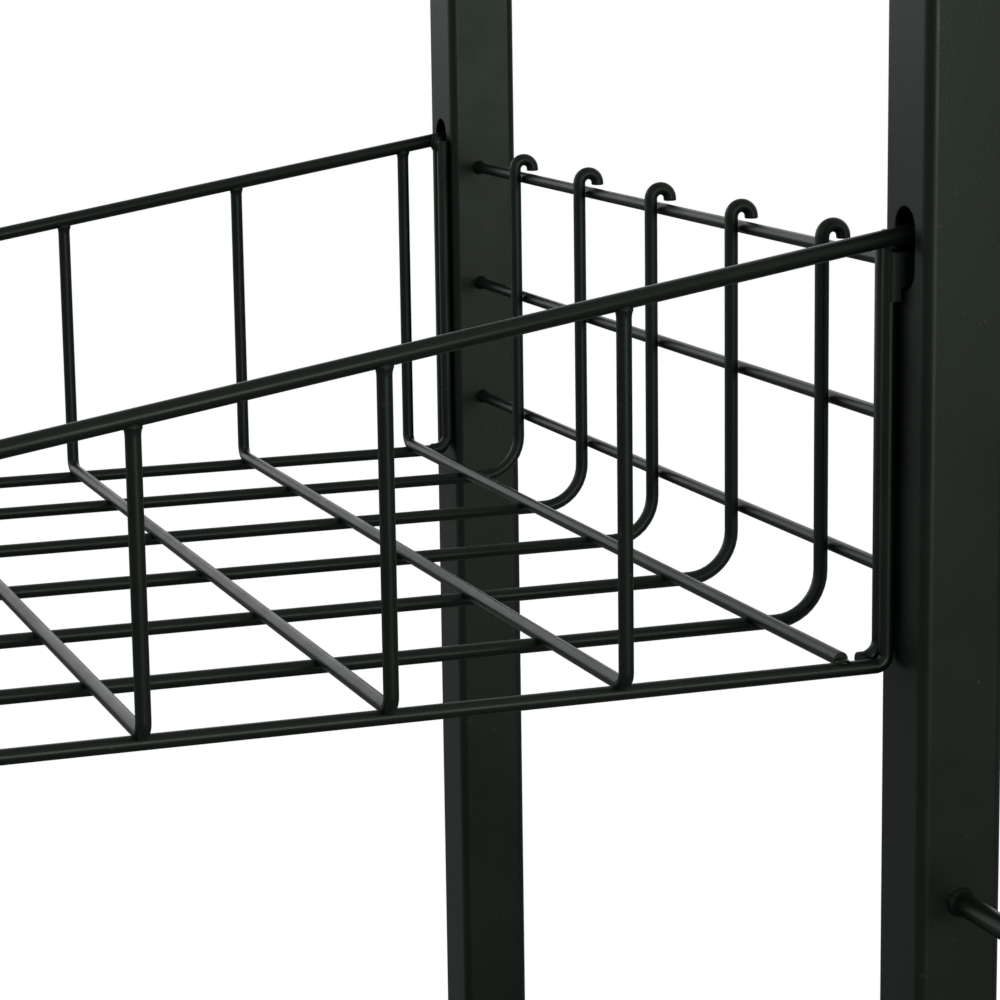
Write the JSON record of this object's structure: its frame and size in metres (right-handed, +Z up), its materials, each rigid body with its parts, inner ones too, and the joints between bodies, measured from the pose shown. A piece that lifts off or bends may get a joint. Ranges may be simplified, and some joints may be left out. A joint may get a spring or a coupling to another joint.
{
  "type": "gondola shelving unit",
  "caption": "Free-standing display unit of square tube with sloping wire baskets hooked on slotted uprights, back rods, side pegs and levelling feet.",
  "frame": {"origin": "on the floor under the middle of the bounding box; the pegs on one side put it 44 mm to the right of midway between the uprights", "axes": "+X across the bay to the right, +Y from the front to the back, +Z up"},
  "size_m": [0.732, 0.58, 1.6],
  "materials": {
    "frame_coat": "satin powder coat, near black",
    "rod_coat": "satin powder coat, near black",
    "basket_wire": "satin powder coat, near black",
    "hanger_steel": "satin powder coat, near black",
    "cap_plastic": "moulded, fine texture",
    "pad_plastic": "moulded, fine texture",
    "zinc_steel": "bright zinc plate"
  },
  "bodies": {
    "frame": {"back_rods_1": "rod_coat", "back_rods_2": "rod_coat", "back_rods_3": "rod_coat", "bar_end_plates": "frame_coat", "bar_screws": "zinc_steel", "foot_caps_front": "cap_plastic", "foot_caps_rear": "cap_plastic", "foot_nuts": "zinc_steel", "foot_tube_left": "frame_coat", "foot_tube_right": "frame_coat", "front_base_bar": "frame_coat", "rear_base_bar": "frame_coat", "side_pegs": "frame_coat", "top_cross_bar": "frame_coat", "upright_cap_left": "cap_plastic", "upright_cap_right": "cap_plastic", "upright_left": "frame_coat", "upright_right": "frame_coat"},
    "basket_1": {"basket_1_cross_wires": "basket_wire", "basket_1_long_wires": "basket_wire", "basket_1_post_left": "basket_wire", "basket_1_post_right": "basket_wire", "basket_1_rail_left": "basket_wire", "basket_1_rail_right": "basket_wire", "basket_1_rear_wire": "basket_wire", "basket_1_rim": "basket_wire", "basket_1_tab_left": "hanger_steel", "basket_1_tab_right": "hanger_steel"},
    "basket_2": {"basket_2_cross_wires": "basket_wire", "basket_2_long_wires": "basket_wire", "basket_2_post_left": "basket_wire", "basket_2_post_right": "basket_wire", "basket_2_rail_left": "basket_wire", "basket_2_rail_right": "basket_wire", "basket_2_rear_wire": "basket_wire", "basket_2_rim": "basket_wire", "basket_2_tab_left": "hanger_steel", "basket_2_tab_right": "hanger_steel"},
    "basket_3": {"basket_3_cross_wires": "basket_wire", "basket_3_long_wires": "basket_wire", "basket_3_post_left": "basket_wire", "basket_3_post_right": "basket_wire", "basket_3_rail_left": "basket_wire", "basket_3_rail_right": "basket_wire", "basket_3_rear_wire": "basket_wire", "basket_3_rim": "basket_wire", "basket_3_tab_left": "hanger_steel", "basket_3_tab_right": "hanger_steel"},
    "foot_front_left": {"foot_pad_front_left": "pad_plastic", "foot_stud_front_left": "zinc_steel"},
    "foot_front_right": {"foot_pad_front_right": "pad_plastic", "foot_stud_front_right": "zinc_steel"},
    "foot_rear_left": {"foot_pad_rear_left": "pad_plastic", "foot_stud_rear_left": "zinc_steel"},
    "foot_rear_right": {"foot_pad_rear_right": "pad_plastic", "foot_stud_rear_right": "zinc_steel"}
  },
  "joints": [
    {"name": "basket_1_lift", "type": "slide", "parent": "frame", "child": "basket_1", "axis": [0, 0, 1], "range_m": [0, 0.0065]},
    {"name": "basket_2_lift", "type": "slide", "parent": "frame", "child": "basket_2", "axis": [0, 0, 1], "range_m": [0, 0.0065]},
    {"name": "basket_3_lift", "type": "slide", "parent": "frame", "child": "basket_3", "axis": [0, 0, 1], "range_m": [0, 0.0065]},
    {"name": "foot_front_left_adjust", "type": "slide", "parent": "frame", "child": "foot_front_left", "axis": [0, 0, -1], "range_m": [0, 0.015]},
    {"name": "foot_front_right_adjust", "type": "slide", "parent": "frame", "child": "foot_front_right", "axis": [0, 0, -1], "range_m": [0, 0.015]},
    {"name": "foot_rear_left_adjust", "type": "slide", "parent": "frame", "child": "foot_rear_left", "axis": [0, 0, -1], "range_m": [0, 0.015]},
    {"name": "foot_rear_right_adjust", "type": "slide", "parent": "frame", "child": "foot_rear_right", "axis": [0, 0, -1], "range_m": [0, 0.015]}
  ]
}
